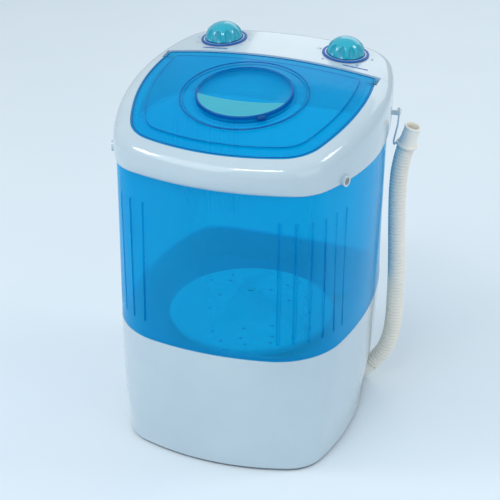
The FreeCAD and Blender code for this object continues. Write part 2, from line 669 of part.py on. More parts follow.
def screw(spot, low, high):
    """Screw pointing up, its head just under low."""
    x, y = spot
    shank = cylinder(SCREW_R, low - 1, high, x, y)
    return shank.fuse(cylinder(SCREW_HEAD_R, low - 2.4, low, x, y))


# ---------------------------------------------------------------- drain
def hose_path():
    """Straight runs joined by tangent arcs, each as large as its two runs allow."""
    points = HOSE_ROUTE
    edges = []
    last = points[0]
    radii = []
    for before, corner, after in zip(points, points[1:], points[2:]):
        come = (corner - before)
        leave = (after - corner)
        short = min(come.Length, leave.Length)
        come.normalize()
        leave.normalize()
        turn = come.getAngle(leave)
        cut = 0.45 * short
        radius = cut / math.tan(turn / 2)
        radii.append(radius)
        start = corner - come * cut
        end = corner + leave * cut
        bisector = (leave - come).normalize()
        sagitta = radius / math.cos(turn / 2) - radius
        edges.append(Part.LineSegment(last, start).toShape())
        edges.append(Part.Arc(start, corner + bisector * sagitta, end).toShape())
        last = end
    edges.append(Part.LineSegment(last, points[-1]).toShape())
    path = Part.Wire(edges)
    print("hose radii:", " ".join("%.0f" % radius for radius in radii), "length %.1f" % path.Length)
    return path


def swept(path, radius):
    heading = HOSE_ROUTE[1] - HOSE_ROUTE[0]
    circle = Part.Wire(Part.makeCircle(radius, HOSE_ROUTE[0], heading))
    return path.makePipeShell([circle], True, False)


def hose_end():
    return HOSE_ROUTE[-1], (HOSE_ROUTE[-1] - HOSE_ROUTE[-2]).normalize()


def hose_cuff():
    start, out = hose_end()
    ring = rod(start, start + out * 4, 15.0)
    neck = rod(start + out * 4, start + out * CUFF_LONG, 11.5)
    bore = rod(start - out, start + out * (CUFF_LONG + 1), HOSE_BORE_R - 0.5)
    return ring.fuse(neck).cut(bore)


def hanger():
    """Thin wire hook: from the lug down behind the hose, then round under the cuff's ring."""
    start, out = hose_end()
    hook = V(start.x - 17.4, start.y, start.z - 1.0)
    points = [V(171.0, LUG_Y + 2, LUG_Z + 7.0), V(169.0, LUG_Y + 2, LUG_Z - 20), hook,
              V(start.x - 14.6, start.y, start.z + 2.7)]
    rods = [rod(a, b, 1.2) for a, b in zip(points, points[1:])]
    balls = [Part.makeSphere(1.2, point) for point in points]
    return rods[0].fuse(rods[1:] + balls)


def drain():
    x, y = SUMP_X, SUMP_Y
    sump = cylinder(SUMP_R + 6, 112, FLOOR_LOW - 0.1, x, y).fuse(cylinder(PIPE_R, 100, 113, x, y))
    sump = sump.cut(cylinder(SUMP_R, 115, 140, x, y)).cut(cylinder(PIPE_BORE_R, 90, 120, x, y))
    save("drain_sump", sump)
    save("drain_tube", tube(PIPE_R + 0.5, PIPE_BORE_R, 48, 100, x, y))
    start = HOSE_ROUTE[0]
    bend = V(x, y, PIPE_BEND_Z)
    elbow = rod(bend, V(x, y, 48), PIPE_R)
    elbow = elbow.fuse([Part.makeSphere(PIPE_R, bend), rod(bend, ELBOW, PIPE_R),
                        Part.makeSphere(SPIGOT_R, ELBOW), rod(ELBOW, start, SPIGOT_R)])
    bores = [rod(bend, V(x, y, 49), PIPE_BORE_R), rod(bend, ELBOW, PIPE_BORE_R),
             rod(ELBOW, start + (start - ELBOW), PIPE_R)]
    save("outlet_elbow", cut_all(elbow, bores))
    path = hose_path()
    hose = swept(path, HOSE_R).cut(swept(path, HOSE_BORE_R))
    area = math.pi * (HOSE_R ** 2 - HOSE_BORE_R ** 2)
    print("hose volume %.0f against %.0f" % (hose.Volume, area * path.Length))
    save("drain_hose", hose)
    save("hose_cuff", hose_cuff())
    save("hose_hanger", hanger())


# ---------------------------------------------------------------- small pieces
def hanger_lug():
    root, out = wall_point(LUG_Z, LUG_Y)
    arm = rod(root - out * 2, root + out * 9, 3.5)
    plate = box(167.5, 173.5, LUG_Y - 3, LUG_Y + 7, LUG_Z - 2, LUG_Z + 5)
    return arm.fuse(plate).cut(flared_block(-0.1, 400, CEILING))


def feet():
    solids = []
    for x, y in FEET:
        foot = Part.makeCone(FOOT_R - 1.5, FOOT_R, PLATE_LOW - 0.1, V(x, y, 0))
        solids.append(foot.cut(cylinder(5, -1, 4, x, y)).cut(cylinder(2.2, 0, 20, x, y)))
    return group(solids)


def foot_screws():
    return group([cylinder(2, 2, 16, x, y).fuse(cylinder(4.4, 1.4, 3.9, x, y)) for x, y in FEET])


def mains_gland():
    shank = rod(GLAND, GLAND + V(0, 30, 0), GLAND_R)
    flange = rod(GLAND + V(0, 29, 0), GLAND + V(0, 33, 0), GLAND_R + 3)
    return shank.fuse(flange).cut(rod(GLAND - V(0, 1, 0), GLAND + V(0, 40, 0), GLAND_BORE_R))


def capacitor():
    x, y = CAPACITOR_X, CAPACITOR_Y
    terminals = [box(x + off - 1, x + off + 1, y - 1, y + 1, 74, 80) for off in (-7, 7)]
    return cylinder(17, PLATE_HIGH + 0.1, 74, x, y).fuse(terminals)


def capacitor_clip():
    x, y = CAPACITOR_X, CAPACITOR_Y
    clip = tube(19, 17.2, 30, 42, x, y).cut(box(x - 8, x + 8, y - 24, y - 10, 20, 50))
    arm = box(x + 17.3, x + 32, y - 3, y + 3, 30, 42)
    leg = box(x + 29, x + 32, y - 3, y + 3, PLATE_HIGH + 0.1, 42)
    return clip.fuse([arm, leg])


def main():
    outer = cap_solid(0.0, 0.0, SHOULDER, SEAM_HIGH)
    inner = cap_solid(WALL, SKIN, SHOULDER - 2 * WALL, SEAM_HIGH - 10)
    save("base_housing", base_housing())
    save("base_plate", base_plate())
    save("wash_tub", wash_tub())
    save("top_collar", top_collar(outer, inner))
    save("control_panel", control_panel(outer, inner))
    save("lid", lid())
    save("lid_cap", lid_cap())
    save("hinge_pins", group(hinge_rods(PIN_IN, PIN_OUT, HINGE_PIN_R)))
    dial(1, "timer_knob", "timer_ring", "timer_spindle", "timer_body", 46.0)
    dial(-1, "selector_knob", "selector_ring", "selector_spindle", "selector_switch", 34.0)
    save("dial_marks", dial_marks())
    casing = flared_block(-0.1, 380, CEILING)
    bosses = [solid.cut(casing) for solid in boss_tools(-6, 4.6, BOSS_R)]
    holes = boss_tools(2.6, 6, 4.6) + boss_tools(-8, 8, 2.1)
    save("side_bosses", group([cut_all(boss, holes) for boss in bosses]))
    heads = boss_tools(2.7, 4.6, 4.2)
    shanks = boss_tools(-9, 3, 1.8)
    save("collar_screws", group([head.fuse(shank) for head, shank in zip(heads, shanks)]))
    save("hanger_lug", hanger_lug())
    save("feet", feet())
    save("foot_screws", foot_screws())
    save("mains_gland", mains_gland())
    save("capacitor", capacitor())
    save("capacitor_clip", capacitor_clip())
    drive()
    motor()
    drain()


main()
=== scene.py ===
import bmesh
import bpy
import json
import math
from mathutils import Matrix, Vector


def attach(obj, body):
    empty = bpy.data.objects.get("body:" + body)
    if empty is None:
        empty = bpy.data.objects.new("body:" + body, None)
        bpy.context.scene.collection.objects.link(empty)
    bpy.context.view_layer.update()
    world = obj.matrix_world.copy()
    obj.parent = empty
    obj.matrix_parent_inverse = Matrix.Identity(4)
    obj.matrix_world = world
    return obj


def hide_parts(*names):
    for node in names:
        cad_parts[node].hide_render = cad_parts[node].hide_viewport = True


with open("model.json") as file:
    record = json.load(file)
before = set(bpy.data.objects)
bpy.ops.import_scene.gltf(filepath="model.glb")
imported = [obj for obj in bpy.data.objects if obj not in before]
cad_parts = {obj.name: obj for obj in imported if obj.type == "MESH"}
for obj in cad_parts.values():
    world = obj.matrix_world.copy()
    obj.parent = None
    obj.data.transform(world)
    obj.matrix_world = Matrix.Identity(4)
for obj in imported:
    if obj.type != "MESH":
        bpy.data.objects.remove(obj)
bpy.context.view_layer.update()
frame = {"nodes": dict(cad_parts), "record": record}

MM = 0.001
NODES = frame["nodes"]

# ---------------------------------------------------------------- camera
SENSOR = 36.0
LENS = 115.16
CAMERA_TURN = math.radians(19.62)      # to the right of the front
CAMERA_RISE = math.radians(28.24)
CAMERA_AWAY = 2.24
CAMERA_AIM = Vector((-0.00625, 0.005, 0.2425))


def make_camera():
    back = Vector((
        math.sin(CAMERA_TURN) * math.cos(CAMERA_RISE),
        -math.cos(CAMERA_TURN) * math.cos(CAMERA_RISE),
        math.sin(CAMERA_RISE),
    ))
    lens = bpy.data.cameras.new("camera")
    lens.sensor_width = SENSOR
    lens.lens = LENS
    lens.clip_start = 0.05
    lens.clip_end = 40.0
    camera = bpy.data.objects.new("camera", lens)
    bpy.context.scene.collection.objects.link(camera)
    camera.location = CAMERA_AIM + back * CAMERA_AWAY
    camera.rotation_mode = "QUATERNION"
    camera.rotation_quaternion = (-back).to_track_quat("-Z", "Y")
    bpy.context.scene.camera = camera


# ---------------------------------------------------------------- mesh helpers
def link(obj):
    bpy.context.scene.collection.objects.link(obj)
    return obj


def mesh_object(name, points, faces, smooth=True):
    mesh = bpy.data.meshes.new(name)
    mesh.from_pydata([tuple(point) for point in points], [], faces)
    mesh.validate()
    mesh.polygons.foreach_set("use_smooth", [smooth] * len(mesh.polygons))
    mesh.update()
    return link(bpy.data.objects.new(name, mesh))


def ring_faces(rings, around, closed):
    """Quads between rings of the same number of points; closed also joins the last to the first."""
    faces = []
    for ring in range(rings if closed else rings - 1):
        here = ring * around
        there = ((ring + 1) % rings) * around
        for step in range(around):
            after = (step + 1) % around
            faces.append((here + step, here + after, there + after, there + step))
    return faces


def lathe(name, rings, outline, place, around=96):
    """Closed surface of rings round an axis; outline(ring, angle) gives radius and height.

    The rings run from the bottom outwards, up, and back to the axis. A radius of 0 is one point.
    """
    points = []
    loops = []
    for ring in range(rings):
        if outline(ring, 0.0)[0] == 0:
            loops.append([len(points)] * around)
            points.append(place @ Vector((0, 0, outline(ring, 0.0)[1])))
            continue
        loops.append([len(points) + step for step in range(around)])
        for step in range(around):
            angle = 2 * math.pi * step / around
            radius, height = outline(ring, angle)
            spot = Vector((radius * math.cos(angle), radius * math.sin(angle), height))
            points.append(place @ spot)
    faces = []
    for low, high in zip(loops, loops[1:]):
        for step in range(around):
            after = (step + 1) % around
            corners = (low[step], low[after], high[after], high[step])
            faces.append(tuple(dict.fromkeys(corners)))
    return mesh_object(name, points, faces)


def turned(name, profile, place, around=96):
    """Lathe of a plain profile of (radius, height) in millimetres."""
    def outline(ring, _):
        radius, height = profile[ring]
        return radius * MM, height * MM

    return lathe(name, len(profile), outline, place, around)


def paint_rings(obj, first, last, around):
    """Give the second finish to the steps first..last-1 of a turned object's profile."""
    for face in obj.data.polygons:
        if first * around <= face.index < last * around:
            face.material_index = 1


def wire(name, corners, radius, around=16, steps=90):
    """Round wire with closed ends through smoothed corners."""
    line = smooth_line(corners, steps)
    points, headings, _ = resample(line, steps)
    across = headings[0].orthogonal()
    verts = []
    for point, heading in zip(points, headings):
        across = (across - heading * across.dot(heading)).normalized()
        third = heading.cross(across)
        for step in range(around):
            angle = 2 * math.pi * step / around
            verts.append(point + (across * math.cos(angle) + third * math.sin(angle)) * radius)
    faces = ring_faces(steps, around, False)
    faces.append(tuple(range(around - 1, -1, -1)))
    faces.append(tuple(range((steps - 1) * around, steps * around)))
    return mesh_object(name, verts, faces)


def smooth_line(corners, steps):
    """Catmull-Rom line through the corners."""
    ends = [corners[0] * 2 - corners[1]] + list(corners) + [corners[-1] * 2 - corners[-2]]
    line = []
    for a, b, c, d in zip(ends, ends[1:], ends[2:], ends[3:]):
        for step in range(steps):
            t = step / steps
            line.append(0.5 * (b * 2 + (c - a) * t + (a * 2 - b * 5 + c * 4 - d) * t * t
                               + (b * 3 - a - c * 3 + d) * t ** 3))
    line.append(corners[-1])
    return line


def dress(obj, body, node, *finishes):
    """Put an object on a body, let it stand in for a node if given, and add its finishes."""
    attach(obj, body)
    if node:
        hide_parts(node)
    for finish in finishes:
        obj.data.materials.append(finish)
    return obj


# ---------------------------------------------------------------- the crowned top
TOP_RADIUS = 1.266
TOP_CENTRE = Vector((0.0, 0.154, 0.5058 - TOP_RADIUS))
DIAL_X = 0.0887
DIAL_Y = 0.129
CAP_Y = -0.0333


def on_top(x, y):
    """Frame on the crowned top at (x, y), its z axis square to the surface."""
    rise = math.sqrt(TOP_RADIUS ** 2 - x ** 2 - (y - TOP_CENTRE.y) ** 2)
    spot = Vector((x, y, TOP_CENTRE.z + rise))
    turn = Vector((0, 0, 1)).rotation_difference(spot - TOP_CENTRE)
    return Matrix.Translation(spot) @ turn.to_matrix().to_4x4()


# ---------------------------------------------------------------- drain hose
HOSE_ROUTE = [
    (0.1475, 0.110, 0.028), (0.1565, 0.1124, 0.038), (0.1665, 0.1143, 0.053),
    (0.174, 0.1153, 0.075), (0.1775, 0.1155, 0.104), (0.1785, 0.115, 0.143),
    (0.1782, 0.1152, 0.196), (0.1753, 0.115, 0.264), (0.1738, 0.1156, 0.322),
    (0.1772, 0.1154, 0.362), (0.1835, 0.115, 0.385),
]
HOSE_RADIUS = 12.5 * MM
HOSE_VALLEY = 10.4 * MM
HOSE_BORE = 9.3 * MM
HOSE_PITCH = 5.1 * MM
HOSE_STEPS = 10                        # rings for each corrugation
HOSE_AROUND = 40
CREST_POWER = 0.55                     # below 1 widens the crests and narrows the valleys


def route_points():
    """Points read from the route's own spline."""
    curve = bpy.data.curves.new("hose_route", "CURVE")
    curve.dimensions = "3D"
    curve.resolution_u = 48
    spline = curve.splines.new("NURBS")
    spline.points.add(len(HOSE_ROUTE) - 1)
    for point, place in zip(spline.points, HOSE_ROUTE):
        point.co = (*place, 1.0)
    spline.order_u = 3
    spline.use_endpoint_u = True
    carrier = link(bpy.data.objects.new("hose_route", curve))
    bpy.context.view_layer.update()
    line = bpy.data.meshes.new_from_object(carrier)
    points = [vertex.co.copy() for vertex in line.vertices]
    bpy.data.objects.remove(carrier)
    bpy.data.curves.remove(curve)
    bpy.data.meshes.remove(line)
    return points


def resample(points, count):
    """Evenly spaced points along a line, with the direction at each."""
    lengths = [0.0]
    for before, after in zip(points, points[1:]):
        lengths.append(lengths[-1] + (after - before).length)
    placed = []
    run = 0
    for number in range(count):
        target = lengths[-1] * number / (count - 1)
        while run < len(lengths) - 2 and lengths[run + 1] < target:
            run += 1
        share = (target - lengths[run]) / max(lengths[run + 1] - lengths[run], 1e-9)
        placed.append(points[run].lerp(points[run + 1], min(share, 1.0)))
    headings = []
    for number in range(count):
        before = placed[max(number - 1, 0)]
        after = placed[min(number + 1, count - 1)]
        headings.append((after - before).normalized())
    return placed, headings, lengths[-1]


def corrugation(distance, total):
    """Outer radius of the hose along its length: round crests, narrow valleys, smooth ends."""
    wave = abs(math.sin(math.pi * distance / HOSE_PITCH))
    if min(distance, total - distance) < HOSE_PITCH / 2:
        return HOSE_VALLEY
    return HOSE_VALLEY + (HOSE_RADIUS - HOSE_VALLEY) * wave ** CREST_POWER


def make_hose():
    """Tube with a corrugated outside and a smooth bore along the route."""
    points = route_points()
    rough_length = sum((b - a).length for a, b in zip(points, points[1:]))
    count = int(rough_length / HOSE_PITCH * HOSE_STEPS) + 1
    placed, headings, total = resample(points, count)
    side = Vector((0, 1, 0))
    verts = []
    for inner in (False, True):
        order = range(count - 1, -1, -1) if inner else range(count)
        for number in order:
            distance = total * number / (count - 1)
            radius = HOSE_BORE if inner else corrugation(distance, total)
            across = (side - headings[number] * side.dot(headings[number])).normalized()
            third = headings[number].cross(across)
            for step in range(HOSE_AROUND):
                angle = 2 * math.pi * step / HOSE_AROUND
                out = across * math.cos(angle) + third * math.sin(angle)
                verts.append(placed[number] + out * radius)
    faces = ring_faces(2 * count, HOSE_AROUND, True)
    hose = mesh_object("hose_corrugated", verts, faces)
    hose.data.flip_normals()
    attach(hose, "root")
    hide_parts("drain_hose")
    return hose, points


CUFF_PROFILE = [
    (9.3, 0.2), (12.6, 0.0), (14.6, 0.1), (15.0, 0.5), (15.0, 3.3), (14.6, 3.8), (12.9, 4.0),
    (12.4, 4.5), (12.3, 8.0), (11.7, 10.0), (11.5, 14.0), (11.2, 24.0), (11.1, 28.6),
    (11.5, 29.2), (11.5, 31.3), (11.1, 31.9), (9.6, 32.0), (9.2, 31.6), (8.9, 28.0),
    (8.9, 4.0), (9.3, 0.2),
]


CUFF_AROUND = 64
HANGER_RADIUS = 1.2 * MM


def make_cuff(finish):
    start = Vector(HOSE_ROUTE[-1])
    out = start - Vector(HOSE_ROUTE[-2])
    place = Matrix.Translation(start) @ out.to_track_quat("Z", "Y").to_matrix().to_4x4()
    cuff = turned("cuff_turned", CUFF_PROFILE, place, CUFF_AROUND)
    return dress(cuff, "root", "hose_cuff", finish)


def make_hanger(finish):
    """Hook from the lug down to the cuff's neck."""
    start = Vector(HOSE_ROUTE[-1])
    corners = [
        Vector((0.171, 0.115, 0.4395)), Vector((0.1712, 0.115, 0.432)),
        Vector((0.170, 0.115, 0.414)),
        start + Vector((-0.0178, 0, 0.006)), start + Vector((-0.0174, 0, -0.0006)),
        start + Vector((-0.0160, 0, 0.0008)), start + Vector((-0.0148, 0, 0.0024)),
    ]
    return dress(wire("hanger_wire", corners, HANGER_RADIUS), "root", "hose_hanger", finish)


# ---------------------------------------------------------------- dials
KNOB_BASE = 26.0 * MM
KNOB_FOOT = 2.4 * MM
KNOB_RISE = 21.4 * MM
SCALLOPS = 10
SCALLOP_DEPTH = 4.4 * MM
SCALLOP_WIDTH = 0.72                   # of the room between two dents
SCALLOP_LEVEL = 0.32                   # of the dome's rise, like the next
SCALLOP_HALF_HEIGHT = 0.42
DOME_RINGS = 56
DOME_AROUND = 200


def knob_outline(ring, angle):
    """Dome with a ring of shallow oval finger dents and a smooth crown."""
    if ring == 0:
        return 0.0, KNOB_FOOT
    turn = (ring - 1) / (DOME_RINGS - 2) * math.pi / 2
    radius = KNOB_BASE * max(math.cos(turn), 0.0) ** 0.95
    height = KNOB_FOOT + KNOB_RISE * math.sin(turn)
    if ring == DOME_RINGS - 1:
        return 0.0, height
    across = (angle / (2 * math.pi) * SCALLOPS) % 1.0 * 2 - 1
    up = (math.sin(turn) - SCALLOP_LEVEL) / SCALLOP_HALF_HEIGHT
    inside = 1 - (across / SCALLOP_WIDTH) ** 2 - up ** 2
    dent = SCALLOP_DEPTH * max(inside, 0.0) ** 0.8
    return radius - dent, height - dent * 0.35


RING_PROFILE = [
    (5.2, 0.15), (32.0, 0.15), (32.2, 0.35), (32.2, 1.2), (31.8, 1.6), (28.7, 1.7),
    (28.5, 1.55), (27.2, 1.55), (27.0, 1.7), (26.0, 1.6), (5.2, 1.2), (5.2, 0.15),
]
RING_LINE = 6                          # this step of the profile is the thin pale line
RING_AROUND = 120


def make_dials(finish):
    sides = ((1, "timer_knob", "timer_ring"), (-1, "selector_knob", "selector_ring"))
    for side, knob, ring in sides:
        place = on_top(side * DIAL_X, DIAL_Y)
        dome = lathe(knob + "_dome", DOME_RINGS, knob_outline, place, DOME_AROUND)
        dress(dome, knob, knob, finish["teal_knob"])
        disc = turned(ring + "_turned", RING_PROFILE, place, RING_AROUND)
        dress(disc, "root", ring, finish["blue_trim"], finish["white_casing"])
        paint_rings(disc, RING_LINE, RING_LINE + 1, RING_AROUND)


# ---------------------------------------------------------------- printing round the dials
DIAL_FIGURES = (("3", -4), ("6", -50), ("9", -128), ("12", 178), ("15", 138))     # with degrees
FIGURE_SIZE = 7.4 * MM
FIGURE_RADIUS = 38.5 * MM
PRINT_LIFT = 0.12 * MM
DASH_START = {-1: -16.5, 1: 8.0}       # millimetres from the left and the right dial's axis
DASH_PITCH = 3.0
DASH_HIGH = 3.0
DASH_Y = -37.0
TICK_DEGREES = (-150, 180, 150, -30, 0)
TICK_RADIUS = 38.0
TICK_SIZE = (3.2, 1.2)


def printed(points, faces, place, patch):
    """Add flat printing, given in the plane of place, to a patch of points and faces."""
    first = len(patch[0])
    for point in points:
        spot = place @ Vector((point[0], point[1], 0))
        patch[0].append(TOP_CENTRE + (spot - TOP_CENTRE).normalized() * (TOP_RADIUS + PRINT_LIFT))
    patch[1].extend([tuple(first + corner for corner in face) for face in faces])


def figure(text):
    """Flat mesh of a figure, centred: points and faces."""
    curve = bpy.data.curves.new("figure", "FONT")
    curve.body = text
    curve.size = FIGURE_SIZE
    curve.align_x = "CENTER"
    curve.align_y = "CENTER"
    carrier = link(bpy.data.objects.new("figure", curve))
    bpy.context.view_layer.update()
    flat = bpy.data.meshes.new_from_object(carrier)
    points = [vertex.co.copy() for vertex in flat.vertices]
    faces = [tuple(face.vertices) for face in flat.polygons]
    bpy.data.objects.remove(carrier)
    bpy.data.curves.remove(curve)
    bpy.data.meshes.remove(flat)
    return points, faces


def bar(x, y, wide, high):
    """Flat rectangle round (x, y), in millimetres: points and faces."""
    corners = [(x - wide / 2, y - high / 2), (x + wide / 2, y - high / 2),
               (x + wide / 2, y + high / 2), (x - wide / 2, y + high / 2)]
    return [(a * MM, b * MM) for a, b in corners], [(0, 1, 2, 3)]


def make_marks(finish):
    patch = ([], [])
    for side in (-1, 1):
        place = on_top(side * DIAL_X, DIAL_Y)
        for number in range(12):
            wide = 2.8 if number % 3 else 2.2
            dash = bar(DASH_START[side] + DASH_PITCH * number, DASH_Y, wide, DASH_HIGH)
            printed(*dash, place, patch)
    right = on_top(DIAL_X, DIAL_Y)
    for text, degrees in DIAL_FIGURES:
        turn = math.radians(degrees)
        spot = Vector((math.cos(turn), math.sin(turn), 0)) * FIGURE_RADIUS
        printed(*figure(text), right @ Matrix.Translation(spot), patch)
    left = on_top(-DIAL_X, DIAL_Y)
    for degrees in TICK_DEGREES:
        turn = math.radians(degrees)
        tick = bar(TICK_RADIUS * math.cos(turn), TICK_RADIUS * math.sin(turn), *TICK_SIZE)
        printed(*tick, left, patch)
    marks = mesh_object("marks_printed", patch[0], patch[1], False)
    dress(marks, "root", "dial_marks", finish)


# ---------------------------------------------------------------- pulsator
PULSATOR_PLACE = Matrix.Translation((0, -0.009, 0.154))
PULSATOR_R = 115.0                     # these are in millimetres
PLATE_TOP = 4.0
BORE_R = 5.0
SKIRT = ((BORE_R, 0.0), (112.0, 0.0), (112.0, -5.0), (114.6, -5.0))
HUB_R = 37.0
HUB_SLOPE = 26.0                       # radius over which the hub rises
HUB_RISE = 31.0
POCKET_R = 7.4                         # screw pocket in the hub
POCKET_DEEP = 9.0
POCKET_WALL = 0.7
VANE_START = 16.0
VANE_REACH = 90.0
VANE_END = 108.0
VANE_RISE = 13.0
VANE_HALF = 8.0
VANE_BEARINGS = (140.0, 262.0, 20.0)
VANE_SWIRL = math.radians(46)
RIM_R = 111.5
RIM_HALF = 3.5
RIM_RISE = 1.6
PULSATOR_RINGS = 96
PULSATOR_AROUND = 300
HOLE_R = 2.3
HOLE_DEEP = 1.0
HOLE_PROFILE = [(0, -HOLE_DEEP), (HOLE_R, -HOLE_DEEP), (HOLE_R, 0.0), (0, 0.0)]
HOLE_ROWS = ((84, 12, 10), (58, 9, 0), (99, 18, 5))     # radius, number, first bearing


def pulsator_height(radius, angle):
    """Height of the pulsator's top over its plate: cone hub, three swirled vanes, rounded rim."""
    if radius < POCKET_R:
        return PLATE_TOP + HUB_RISE - POCKET_DEEP * min(1.0, (POCKET_R - radius) / POCKET_WALL)
    reach = min(max((HUB_R - radius) / HUB_SLOPE, 0.0), 1.0)
    hub = HUB_RISE * reach ** 1.15
    out = min(max((radius - VANE_START) / VANE_REACH, 0.0), 1.0)
    vane = 0.0
    for bearing in VANE_BEARINGS:
        off = angle - math.radians(bearing) + VANE_SWIRL * out
        off = (off + math.pi) % (2 * math.pi) - math.pi
        across = abs(off) * radius / (VANE_HALF * (0.6 + 0.7 * out))
        if across < 1 and radius < VANE_END:
            crest = VANE_RISE * (1.15 - 0.45 * out) * min((VANE_END - radius) / 10, 1.0)
            vane = max(vane, crest * math.cos(across * math.pi / 2) ** 0.8)
    rim = max(0.0, 1 - ((radius - RIM_R) / RIM_HALF) ** 2) * RIM_RISE
    return PLATE_TOP + max(hub, vane) + rim


def pulsator_outline(ring, angle):
    """Underside and skirt, then the top from the rim inwards, then down the bore."""
    if ring < len(SKIRT):
        radius, height = SKIRT[ring]
        return radius * MM, height * MM
    if ring == PULSATOR_RINGS - 1:
        return BORE_R * MM, 0.0
    share = (PULSATOR_RINGS - 2 - ring) / (PULSATOR_RINGS - 6)
    radius = PULSATOR_R * share
    if ring == PULSATOR_RINGS - 2:
        radius = BORE_R
    return max(radius, BORE_R) * MM, pulsator_height(radius, angle) * MM


def make_pulsator(finish):
    top = lathe("pulsator_swirled", PULSATOR_RINGS, pulsator_outline, PULSATOR_PLACE,
                PULSATOR_AROUND)
    dress(top, "pulsator", "pulsator", finish["pulsator_plastic"])
    for radius, count, first in HOLE_ROWS:
        for number in range(count):
            turn = math.radians(first + 360 * number / count)
            high = pulsator_height(radius, turn)
            if high > PLATE_TOP + 1:       # no holes through the vanes
                continue
            spot = Vector((radius * math.cos(turn), radius * math.sin(turn), high + 0.06)) * MM
            # no hole is cut: each dark disc is painted shade for the shaded inside of a drain hole
            cup = turned("drain_hole_shade", HOLE_PROFILE, PULSATOR_PLACE @ Matrix.Translation(spot), 20)
            dress(cup, "pulsator", None, finish["blue_trim"])


# ---------------------------------------------------------------- cap in the lid
CAP_PROFILE = [
    (0, 2.0), (61.4, 2.0), (61.8, -3.2), (63.4, -3.5), (64.2, -3.0), (64.3, 5.9), (63.9, 6.7),
    (63.1, 7.0), (62.3, 6.7), (61.9, 5.9), (61.5, 5.4), (40.0, 5.1), (0, 5.0),
]
CAP_WALL = (3, 8)                      # these steps of the profile are the darker rim, painted shade for the dark outline round the cap
CAP_AROUND = 160
CRESCENT_R = 61.6                      # the crescent's values and the tab's are in millimetres
CRESCENT_LEVEL = 5.7
CRESCENT_REACH = 77.5                  # degrees to either side of the front
TAB_DEGREES = -52
TAB_SIZE = (8.5, 12.0, 3.4)
TAB_PLACE = (67.6, 0.0, 4.7)
TAB_BEVEL = 1.2


def crescent_edge(x):
    """Rear edge of the crescent, a shallow curve."""
    return -23.5 + 0.0022 * (x + 8) ** 2


def make_cap(finish):
    place = on_top(0.0, CAP_Y)
    cap = turned("cap_turned", CAP_PROFILE, place, CAP_AROUND)
    dress(cap, "lid_cap", "lid_cap", finish["blue_lid"], finish["lid_edge_painted_shade"])
    paint_rings(cap, *CAP_WALL, CAP_AROUND)
    dress(crescent_mesh(place), "lid_cap", None, finish["teal_knob"])
    # the tab is painted with the same darker copy of the lid plastic
    dress(tab_mesh(place), "lid_cap", None, finish["lid_edge_painted_shade"])


def crescent_mesh(place):
    """Opaque crescent in the front of the cap."""
    points = []
    columns, rows = 80, 6
    for column in range(columns + 1):
        x = CRESCENT_R * math.sin(math.radians(CRESCENT_REACH * (2 * column / columns - 1)))
        low = -math.sqrt(CRESCENT_R ** 2 - x ** 2)
        high = max(crescent_edge(x), low)
        for row in range(rows + 1):
            y = low + (high - low) * row / rows
            points.append(place @ (Vector((x, y, CRESCENT_LEVEL)) * MM))
    faces = []
    for column in range(columns):
        for row in range(rows):
            a = column * (rows + 1) + row
            faces.append((a, a + rows + 1, a + rows + 2, a + 1))
    return mesh_object("cap_crescent", points, faces)


def tab_mesh(place):
    """Grip tab on the cap's edge: a rounded block."""
    turn = Matrix.Rotation(math.radians(TAB_DEGREES), 4, "Z")
    mesh = bpy.data.meshes.new("cap_tab")
    shape = bmesh.new()
    bmesh.ops.create_cube(shape, size=1.0)
    bmesh.ops.scale(shape, vec=Vector(TAB_SIZE) * MM, verts=shape.verts)
    bmesh.ops.bevel(shape, geom=shape.edges[:], offset=TAB_BEVEL * MM, segments=4, affect="EDGES")
    bmesh.ops.translate(shape, vec=Vector(TAB_PLACE) * MM, verts=shape.verts)
    bmesh.ops.transform(shape, matrix=place @ turn, verts=shape.verts)
    shape.to_mesh(mesh)
    shape.free()
    mesh.polygons.foreach_set("use_smooth", [True] * len(mesh.polygons))
    return link(bpy.data.objects.new("cap_tab", mesh))


# ---------------------------------------------------------------- dark beads on the lid: painted shade along its rim, step and ring
COLLAR_HALF = 176.3                    # all of these are in millimetres
COLLAR_FRONT = -187.8
SIDE_ARC_R = 364.0
SIDE_ARC_Y = 13.7
FRONT_ARC_R = 297.0
CORNER_ARC_R = 86.0
LID_INSET = 23.6
HINGE_Y = 74.0
BOW_HALF = 150.0
BOW_RISE = 6.5
BOW_RADIUS = (BOW_HALF ** 2 + BOW_RISE ** 2) / (2 * BOW_RISE)
BOW_CENTRE = HINGE_Y + BOW_RISE - BOW_RADIUS
SIDE_END = 0.35                        # angle past which the side arc is behind the bow
ARC_STEPS = 40
BOW_STEPS = 60
LID_RING_R = 84.5


def meet(centre_a, radius_a, centre_b, radius_b, towards_y):
    """Centre of a corner arc: the outer of the two points at known distances from two centres."""
    gap = centre_b - centre_a
    along = (radius_a ** 2 - radius_b ** 2 + gap.length ** 2) / (2 * gap.length)
    across = math.sqrt(radius_a ** 2 - along ** 2)
    unit = gap.normalized()
    foot = centre_a + unit * along
    normal = Vector((-unit.y, unit.x))
    return max((foot + normal * across, foot - normal * across),
               key=lambda spot: spot.x + towards_y * spot.y)


